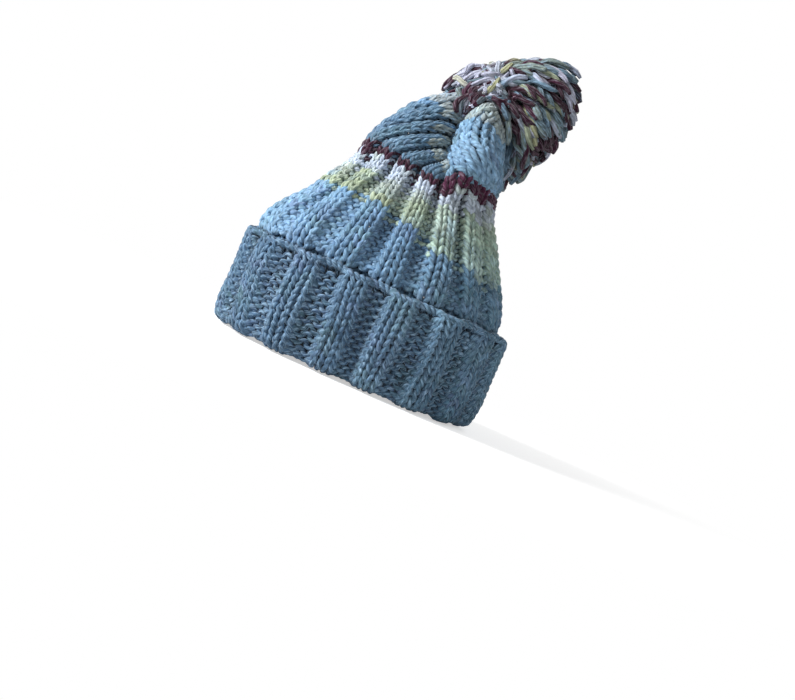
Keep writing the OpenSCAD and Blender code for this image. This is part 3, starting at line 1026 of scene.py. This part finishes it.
def cast_on_edge():
    n = STITCHES * CAST_ON_STEPS
    share = np.arange(n) / n
    phase = (share * RIB_COUNT + 0.25) % 1
    run = CAST_ON_RUN - CAST_ON_DIP * np.sin(TURN * phase) + CAST_ON_STRAY * np.sin(5 * TURN * share)
    depth = CAST_ON_RELIEF * rib_height(cuff_surface, phase, 0.5 + 0 * share, 0 * share, share)
    middle, out, _ = lifted(cuff_surface, share, run, depth)
    up = np.cross(unit(np.roll(middle, -1, 0) - np.roll(middle, 1, 0)), out)
    made = []
    for strand in range(2):
        turn = TURN * share * STITCHES + math.pi * strand
        path = middle + CAST_ON_TWIST * spun(turn, out, up)
        radius = np.full(n, CAST_ON_R) * (1 + 0.06 * np.sin(TURN * 11 * share + strand))
        dye = cuff_dye(np.arange(STITCHES), 0)[np.arange(n) // CAST_ON_STEPS]
        # Painted shade: the strands are painted darker where they turn in toward the cuff's hidden face
        made.append((path, out, radius, dye, CAST_ON_TWIST * np.cos(turn) - CAST_ON_SHADE))
    return yarn_mesh("cast_on_edge_yarn", *stacked(made), face=-1)


edge_yarn = cast_on_edge()
dress(edge_yarn, yarns, "blue_yarn", "cast_on_edge")
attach(edge_yarn, "hat_base")

# Tie and pom-pom: places and directions that follow from the gathered tip
TIE_DROOP = math.radians(48)
BEND_OUT = 7
POMPOM_OUT = 29
KNOT_IN = 12
KNOT_D = 10
WAIST_R = 12
TIE_BEND = 2.9
up_dir = np.array((0, 0, 1))
lean_dir = np.array((math.cos(TIP_TURN), math.sin(TIP_TURN), 0))
side_dir = np.array((-math.sin(TIP_TURN), math.cos(TIP_TURN), 0))
tip_dir = math.sin(TIP_BEND) * lean_dir + math.cos(TIP_BEND) * up_dir
across_dir = np.cross(side_dir, tip_dir)
neck_tilt = TIP_BEND + TIE_DROOP
neck_dir = math.sin(neck_tilt) * lean_dir + math.cos(neck_tilt) * up_dir
gather_point = crown_place(np.array(float(GATHER_AT)), np.array(0.0), np.array(0.0), 0)
bend_point = gather_point + BEND_OUT * tip_dir
pompom_middle = bend_point + POMPOM_OUT * neck_dir
knot_point = gather_point - KNOT_IN * tip_dir

# Yarn of the tie's pieces: radii, points along them, and the length of one twist of the pair
TIE_R = 1.3
TIE_STEPS = 40
TIE_TWIST = 11
KNOT_R = 1.2
KNOT_STEPS = 90
THREAD_R = 1.4
THREAD_STEPS = 128
BINDING_R = 1.5
BINDING_STEPS = 120
BINDING_TURNS = 3
BINDING_HALF_W = 2.2
CORE_R = 1.7
CORE_STEPS = 15
CORE_SIDES = 6
CORE_YARNS = 64
CORE_SPREAD = 8.5
CORE_HALF_L = 17.5
# Turn that spreads things evenly over a disc or a ball
GOLDEN_TURN = 2.39996


def one_yarn(name, path, outs, r, colour, closed=True):
    """One length of yarn along a path."""
    n = len(path)
    dyes = np.broadcast_to(colour, (1, n, 3))
    return yarn_mesh(name, path[None], outs[None], np.full((1, n), r), dyes, closed=closed)


def twisted_pair(name, first, last):
    """Two yarns laid round each other between two points of the tie."""
    middle = np.linspace(first, last, TIE_STEPS)
    tangent = unit(np.gradient(middle, axis=0))
    out = unit(np.cross(tangent, side_dir))
    side = np.cross(tangent, out)
    turn = TURN * np.linspace(0, np.linalg.norm(last - first) / TIE_TWIST, TIE_STEPS)
    outs = np.array([spun(turn + math.pi * strand, out, side) for strand in range(2)])
    dyes = np.broadcast_to(GREY_BLUE, outs.shape)
    radii = np.full(outs.shape[:2], TIE_R)
    return yarn_mesh(name, middle + 0.9 * TIE_R * outs, outs, radii, dyes, closed=False)


def tie_knot():
    """Overhand knot: a trefoil of yarn round the end of the tie, inside the crown."""
    t = TURN * np.arange(KNOT_STEPS) / KNOT_STEPS
    big, small = 0.19 * KNOT_D, 0.13 * KNOT_D
    x = big * (np.sin(t) + 1.6 * np.sin(2 * t)) * 0.8
    y = big * (np.cos(t) - 1.6 * np.cos(2 * t)) * 0.8
    z = small * -np.sin(3 * t)
    path = knot_point - x[:, None] * across_dir + y[:, None] * side_dir + z[:, None] * tip_dir
    return one_yarn("tie_knot_yarn", path, path - knot_point, KNOT_R, GREY_BLUE)


def gather_thread():
    """Thread that runs in and out of the last loops and draws the tip together."""
    turn = TURN * np.arange(THREAD_STEPS) / THREAD_STEPS
    r = GATHER_R + 0.6 * np.cos(RIB_COUNT / 2 * turn)
    path = gather_point + r[:, None] * spun(turn, across_dir, side_dir)
    path = path + (0.8 * np.sin(RIB_COUNT / 2 * turn))[:, None] * tip_dir
    outs = np.broadcast_to(tip_dir, path.shape)
    return one_yarn("gather_thread_yarn", path, outs, THREAD_R, mix(YELLOW, GREY_BLUE, 0.5))


def pompom_binding():
    """Yarn wound three times round the waist of the strands."""
    turn = TURN * BINDING_TURNS * np.arange(BINDING_STEPS) / (BINDING_STEPS - 1)
    slip = np.linspace(-BINDING_HALF_W, BINDING_HALF_W, BINDING_STEPS)
    path = pompom_middle + WAIST_R * spun(turn, across_dir, tip_dir)
    path = path + slip[:, None] * side_dir
    return one_yarn("pompom_binding_yarn", path, path - pompom_middle, BINDING_R, GREY_BLUE, closed=False)


def pompom_core():
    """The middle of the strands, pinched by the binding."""
    t = np.linspace(-1, 1, CORE_STEPS)
    out = np.broadcast_to(tip_dir + 0.3 * across_dir, (CORE_STEPS, 3))
    made = []
    for k in range(CORE_YARNS):
        turn = k * GOLDEN_TURN + 0.2
        far = math.sqrt((k + 0.5) / CORE_YARNS)
        spread = CORE_SPREAD * far * (1 + 0.9 * t**2)
        path = (
            pompom_middle
            + (CORE_HALF_L * t * (1 - 0.25 * far))[:, None] * side_dir
            + (spread * math.cos(turn))[:, None] * across_dir
            + (spread * math.sin(turn))[:, None] * tip_dir
        )
        dye = np.broadcast_to(GREY_BLUE * rng.uniform(0.5, 1.0), (CORE_STEPS, 3))
        made.append((path, out, np.full(CORE_STEPS, CORE_R), dye))
    return yarn_mesh("pompom_core_yarn", *stacked(made), sides=CORE_SIDES, closed=False)


neck_end = bend_point + (POMPOM_OUT - WAIST_R) * neck_dir
for piece, node, body in (
    (twisted_pair("pompom_tie_yarn", knot_point, bend_point - TIE_BEND * tip_dir), "pompom_tie", "tie"),
    (twisted_pair("tie_neck_yarn", bend_point, neck_end), "tie_neck", "pompom"),
    (tie_knot(), "tie_knot", "tie"),
    (gather_thread(), "gather_thread", "crown_top"),
    (pompom_binding(), "pompom_binding", "pompom"),
    (pompom_core(), "pompom_core", "pompom"),
):
    dress(piece, yarns, "tie_yarn", node)
    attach(piece, body)

# Strands of the pom-pom: cut lengths, combed away from the tie and fallen over under their weight
STRAND_COUNT = 900
STRAND_STEPS = 14
STRAND_R = 2.1
STRAND_SIDES = 7
STRAND_SLOTS = {
    "blue": "blue_yarn",
    "burgundy": "burgundy_yarn",
    "white": "white_yarn",
    "yellow": "yellow_green_yarn",
}
# A strand keeps this far off the crown as the tie sways, or lies on it; one that can't is left out
STRAND_CLEAR = 9
LIE_CLEAR = 7.5
LONGEST_STEP = 8
LEAST_MOVE = 6
LOWEST_DRAPE = 212
DEEPEST = -5
SWAY = math.radians(15)
sway_axis = Vector(math.cos(TIP_BEND) * lean_dir) - math.sin(TIP_BEND) * Vector((0, 0, 1))
AT_REST = [Matrix.Identity(3)]
SWAYED = [Matrix.Rotation(angle, 3, sway_axis) for angle in (SWAY, -SWAY, 0)]
FALL = np.array((0, 0.41, -0.91))
FALL_SHARE = 0.9
# How far back from its cut end a strand's root and its two bends are, and the crimp of the yarn
ROOT_BACK = 34
BEND_BACK = 30
LIE_BACK = 12
CRIMP = 1.4
# A few strands have dropped over the tie into the crease: where their ends lie round and up the crown
CREASE_STRANDS = 40
CREASE_STRAND_TURN = 16
CREASE_STRAND_SPREAD = 34
CREASE_STRAND_LEVELS = (131, 152)
# A direction that no strand runs along
ASKEW = (0.3, 0.5, 0.8)
# The mop's three half widths: the way it lies over, upward and across, and how far it is off the middle
MOP_ALONG = np.array((0, 0.912, 0.410))
MOP_UP = -FALL
MOP_ACROSS = np.array((1, 0, 0))
MOP_HALF = (53, 44, 44)
MOP_SHIFT = -6
MOP_SQUARE = 2.8
MOP_SKEW = 0.33
MOP_HANG = 11
mop_middle = pompom_middle + MOP_SHIFT * MOP_ALONG
tie_top = bend_point + 6 * MOP_UP
SHEET_ROUNDS = 120
SHEET_LEVELS = np.linspace(60, GATHER_AT, 44)


def crown_sheet():
    """The crown's upper fabric as one sheet, to keep the strands off it."""
    share, level = np.meshgrid(np.arange(SHEET_ROUNDS) / SHEET_ROUNDS, SHEET_LEVELS)
    points = crown_surface(share, level).reshape(-1, 3)
    faces = []
    for low in range(0, len(points) - SHEET_ROUNDS, SHEET_ROUNDS):
        high = low + SHEET_ROUNDS
        for i in range(SHEET_ROUNDS):
            i2 = (i + 1) % SHEET_ROUNDS
            faces.append((low + i, low + i2, high + i2, high + i))
    return BVHTree.FromPolygons([tuple(p) for p in points], faces)


def gap_to(tree, point):
    """How far a point is off the crown, the place on the crown next to it and the direction there."""
    near, normal, _, _ = tree.find_nearest(point)
    away = point - near
    return away.length if away.dot(normal) > 0 else -away.length, near, normal


def keep_off(tree, path, turns, clear):
    """The path with its points a clear distance off the crown, with the tie turned each way."""
    middle = Vector(gather_point)
    path = path.copy()
    for smoothings in (2, 1):
        for k in range(1, len(path)):
            point = Vector(path[k])
            for turn in turns * 2:
                gap, near, normal = gap_to(tree, middle + turn @ (point - middle))
                if gap < clear:
                    point = middle + turn.transposed() @ (near + normal * clear - middle)
            path[k] = np.array(point)
        for _ in range(smoothings):
            path[1:-1] = (path[:-2] + 2 * path[1:-1] + path[2:]) / 4
    return path


def bezier(a, b, c, d, n):
    t = np.linspace(0, 1, n)[:, None]
    return (1 - t) ** 3 * a + 3 * (1 - t) ** 2 * t * b + 3 * (1 - t) * t**2 * c + t**3 * d


def grow_strand(e, draw):
    """Path of the strand whose cut end lies on the mop's surface in direction e."""
    axes = np.array((MOP_ALONG, MOP_UP, MOP_ACROSS))
    half = np.array(MOP_HALF) * draw.uniform(0.9, 1.03)
    local = axes @ e
    local = local / (np.abs(local) ** MOP_SQUARE).sum() ** (1 / MOP_SQUARE)
    along, up, near = local
    # The far side is full at the top and falls away below, and the near side hangs down
    rise = 0.3 if up > 0 else 1
    half = half * (1 + MOP_SKEW * max(0, along) * up * np.array((1, rise, 1)))
    half[1] += MOP_HANG * smooth(-2 * up) * smooth((0.5 - along) / 0.5) * smooth((0.4 - near) / 0.4)
    end = mop_middle + (half * local) @ axes
    normal = unit((np.sign(local) * np.abs(local) ** (MOP_SQUARE - 1) / half) @ axes)
    far = np.linalg.norm(end - tie_top)
    flow = (end - tie_top) / far + FALL_SHARE * smooth((far - 20) / 35) * FALL + draw.normal(0, 0.3, 3)
    flow = unit(flow - draw.uniform(0.6, 0.95) * (flow @ normal) * normal)
    length = draw.normal(1, 0.08)
    root = mop_middle + 0.33 * (end - ROOT_BACK * length * flow - mop_middle)
    bend = end - BEND_BACK * length * flow - 3 * normal
    lie = end - LIE_BACK * length * flow + normal
    return bezier(root, bend, lie, end, STRAND_STEPS)


STRAND_DYES = {
    "blue": np.array(((0.135, 0.195, 0.230), (0.170, 0.215, 0.205), (0.100, 0.165, 0.230))),
    "burgundy": np.array(((0.038, 0.006, 0.021), (0.028, 0.005, 0.015))),
    "white": np.array(((0.490, 0.510, 0.650), (0.360, 0.400, 0.490))),
    "yellow": np.array(((0.340, 0.350, 0.210), (0.240, 0.280, 0.200))),
}
STRAND_SHARES = (("blue", 0.44), ("burgundy", 0.25), ("white", 0.16), ("yellow", 0.15))
# Clumps of one colour on the near side: colour, reach along and up the mop, share of the strands
STRAND_CLUMPS = (
    ("white", (-0.75, 0.05), (0.3, 0.9), 0.75),
    ("burgundy", (-0.12, 0.38), (-0.30, 0.35), 0.75),
    # This burgundy clump also darkens the mop's underside as painted shade
    ("burgundy", (0.35, 0.75), (-0.85, -0.35), 0.65),
    ("burgundy", (-1.0, -0.5), (-0.4, 0.35), 0.5),
)


def strand_colour(e, draw):
    """Colour of a strand: strands wound one after another lie together, so colours come in clumps."""
    along, up, near = e @ MOP_ALONG, e @ MOP_UP, e @ MOP_ACROSS
    for colour, (left, right), (low, high), share in STRAND_CLUMPS:
        if near > 0 and left < along < right and low < up < high and draw.uniform() < share:
            return colour
    clump = np.sin(5.1 * along + 2.2 * np.sin(3.3 * up + 1.0) + 1.7 * near)
    pick = 0.4 + 0.4 * clump + 0.2 * draw.normal() if draw.uniform() < 0.6 else draw.uniform()
    total = 0
    for colour, share in STRAND_SHARES:
        total += share
        if pick < total:
            return colour
    return "blue"


def crimped(path, draw):
    """A path with the crimp that is left in unwound yarn."""
    s = np.linspace(0, 1, len(path))
    curl = TURN * (2 * s + draw.uniform())
    along = unit(path[-1] - path[0])
    one = unit(np.cross(along, ASKEW))
    two = np.cross(along, one)
    return path + (CRIMP * s * np.cos(curl))[:, None] * one + (CRIMP * s * np.sin(curl))[:, None] * two


def carried_across(path):
    """Directions across a path that turn with it, without a twist."""
    tangent = unit(np.gradient(path, axis=0))
    across = np.cross(tangent[0], ASKEW)
    outs = []
    for t in tangent:
        across = unit(across - (across @ t) * t)
        outs.append(across)
    return np.array(outs)


def strand_dye(colour, draw):
    """Dye along a strand, with painted shade toward its root; some strands change colour on the way."""
    s = np.linspace(0, 1, STRAND_STEPS)
    dyes = STRAND_DYES[colour]
    base = dyes[draw.integers(len(dyes))] * math.exp(draw.normal(0, 0.13))
    other = STRAND_DYES[STRAND_SHARES[draw.integers(4)][0]][0]
    fade = 0.75 * smooth((s - draw.uniform(0.2, 0.9)) / 0.25) if draw.uniform() < 0.35 else 0 * s
    # Painted shade: the strand is darker toward its root, inside the mop
    painted_root_shade = 0.35 + 0.65 * smooth(s / 0.55)
    return mix(np.broadcast_to(base, (STRAND_STEPS, 3)), other, fade) * painted_root_shade[:, None]


def pompom_strands():
    """Path, directions, radii and dye of each strand, by colour: the free ones, then the draped ones."""
    draw = np.random.default_rng(7)
    tree = crown_sheet()
    free, draped = ({colour: [] for colour in STRAND_SLOTS} for _ in range(2))
    s = np.linspace(0, 1, STRAND_STEPS)

    def add(colour, path, lies=False):
        path = crimped(path, draw)
        thick = STRAND_R * math.exp(draw.normal(0, 0.1))
        lumps = 1 + 0.1 * np.sin(TURN * (1.7 * s + draw.uniform()))
        dye = strand_dye(colour, draw)
        if min(gap_to(tree, Vector(path[k]))[0] for k in (-1, STRAND_STEPS // 2)) < DEEPEST:
            return
        # A strand that the crown would catch as the tie sways lies on the crown
        clear = keep_off(tree, path, SWAYED, STRAND_CLEAR)
        lies = lies or np.linalg.norm(clear - path, axis=1).max() > LEAST_MOVE
        if lies and path[-1][2] < LOWEST_DRAPE:
            return
        if lies:
            clear = keep_off(tree, path, AT_REST, LIE_CLEAR)
        step = np.linalg.norm(np.diff(clear, axis=0), axis=1).max()
        if step > (2 if lies else 1) * LONGEST_STEP:
            return
        radius = thick * lumps * (0.8 + 0.25 * smooth(s / 0.5)) * (1 - 0.4 * smooth((s - 0.85) / 0.15))
        kept = draped if lies else free
        kept[colour].append((clear, carried_across(clear), radius, dye))

    for i in range(STRAND_COUNT):
        height = 1 - 2 * (i + 0.5) / STRAND_COUNT
        turn = i * GOLDEN_TURN + draw.normal(0, 0.1)
        flat = math.sqrt(1 - height**2)
        e = np.array((flat * math.cos(turn), flat * math.sin(turn), height)) + draw.normal(0, 0.06, 3)
        e = unit(e)
        path = grow_strand(e, draw)
        add(strand_colour(e, draw), path)
    root = mop_middle + 0.2 * (bend_point - mop_middle)
    for _ in range(CREASE_STRANDS):
        share = (CREASE_TURN - CREASE_STRAND_TURN - CREASE_STRAND_SPREAD * draw.uniform()) / 360
        level = draw.uniform(*CREASE_STRAND_LEVELS)
        end = crown_shape(np.array([share]), np.array([level]))[0]
        out = np.array((math.cos(TURN * share), math.sin(TURN * share), 0.4))
        over = bend_point + 9 * MOP_UP + draw.normal(0, 3, 3)
        path = bezier(root, over, end + 14 * out + 8 * MOP_UP, end + 8 * out, STRAND_STEPS)
        add("burgundy", path, lies=True)
    return free, draped


def strand_piece(name, colour, made):
    piece = yarn_mesh(name, *stacked(made), sides=STRAND_SIDES, closed=False)
    dress(piece, cut_yarns, STRAND_SLOTS[colour], f"pompom_strands_{colour}")
    return piece


free_strands, draped_strands = pompom_strands()
for colour in STRAND_SLOTS:
    strands = strand_piece(f"pompom_strands_{colour}_yarn", colour, free_strands[colour])
    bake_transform(strands)
    strands = strand_piece(f"pompom_strands_{colour}_draped_yarn", colour, draped_strands[colour])
    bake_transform(strands)

# Studio: a white world and floor, with the hat's shadow kept on the floor near it
WORLD_LIGHT = 0.18
FLOOR_REACH = 6.0
FLOOR_GLOW = 0.55
FLOOR_FADE = (0.14, 0.45)
HAT_MIDDLE = (0, 0, 0.13)


def seen_rays(tree):
    """1 for the rays that show the surround: from the camera, in reflections and through glass."""
    path = tree.nodes.new("ShaderNodeLightPath")
    seen = path.outputs["Is Camera Ray"]
    for label in ("Is Glossy Ray", "Is Transmission Ray"):
        either = tree.nodes.new("ShaderNodeMath")
        either.operation = "MAXIMUM"
        link(tree, seen, either.inputs[0])
        link(tree, path.outputs[label], either.inputs[1])
        seen = either.outputs[0]
    return seen


def make_world():
    """White where it is seen, and a low even light on the hat."""
    world = bpy.data.worlds.new("studio")
    world.use_nodes = True
    bpy.context.scene.world = world
    tree = world.node_tree
    back = tree.nodes["Background"]
    back.inputs["Color"].default_value = (1, 1, 1, 1)
    strength = tree.nodes.new("ShaderNodeMapRange")
    strength.inputs["To Min"].default_value = WORLD_LIGHT
    strength.inputs["To Max"].default_value = 1.0
    link(tree, seen_rays(tree), strength.inputs["Value"])
    link(tree, strength.outputs[0], back.inputs["Strength"])


def make_floor():
    """White floor: near the hat it shows the shadow, and further off it is seen as plain white."""
    mesh = bpy.data.meshes.new("floor")
    r = FLOOR_REACH
    mesh.from_pydata([(-r, -r, 0), (r, -r, 0), (r, r, 0), (-r, r, 0)], [], [(0, 1, 2, 3)])
    floor = bpy.data.objects.new("floor", mesh)
    bpy.context.scene.collection.objects.link(floor)
    material = bpy.data.materials.new("floor_white")
    material.use_nodes = True
    tree = material.node_tree
    tree.nodes.remove(tree.nodes["Principled BSDF"])
    diffuse = tree.nodes.new("ShaderNodeBsdfDiffuse")
    diffuse.inputs["Color"].default_value = (0.8, 0.8, 0.8, 1)
    glow = tree.nodes.new("ShaderNodeEmission")
    glow.inputs["Strength"].default_value = FLOOR_GLOW
    both = tree.nodes.new("ShaderNodeAddShader")
    link(tree, diffuse.outputs[0], both.inputs[0])
    link(tree, glow.outputs[0], both.inputs[1])
    white = tree.nodes.new("ShaderNodeEmission")
    spot = tree.nodes.new("ShaderNodeTexCoord")
    far = tree.nodes.new("ShaderNodeVectorMath")
    far.operation = "LENGTH"
    link(tree, spot.outputs["Object"], far.inputs[0])
    fade = tree.nodes.new("ShaderNodeMapRange")
    fade.interpolation_type = "SMOOTHSTEP"
    fade.inputs["From Min"].default_value = FLOOR_FADE[0]
    fade.inputs["From Max"].default_value = FLOOR_FADE[1]
    link(tree, far.outputs["Value"], fade.inputs["Value"])
    shown = tree.nodes.new("ShaderNodeMixShader")
    link(tree, fade.outputs[0], shown.inputs[0])
    link(tree, both.outputs[0], shown.inputs[1])
    link(tree, white.outputs[0], shown.inputs[2])
    choose = tree.nodes.new("ShaderNodeMixShader")
    link(tree, seen_rays(tree), choose.inputs[0])
    link(tree, diffuse.outputs[0], choose.inputs[1])
    link(tree, shown.outputs[0], choose.inputs[2])
    link(tree, choose.outputs[0], tree.nodes["Material Output"].inputs["Surface"])
    mesh.materials.append(material)


def area_light(name, place, size, power):
    light = bpy.data.lights.new(name, "AREA")
    light.size = size
    light.energy = power
    lamp = bpy.data.objects.new(name, light)
    lamp.location = place
    lamp.rotation_euler = (Vector(HAT_MIDDLE) - Vector(place)).to_track_quat("-Z", "Y").to_euler()
    bpy.context.scene.collection.objects.link(lamp)


make_world()
make_floor()
area_light("key", (0.55, -1.60, 0.95), 0.6, 50)
area_light("fill", (1.5, 0.3, 0.9), 1.0, 4)
area_light("back", (-1.2, 0.7, 1.1), 1.0, 10)

bpy.context.scene.view_settings.view_transform = "Standard"
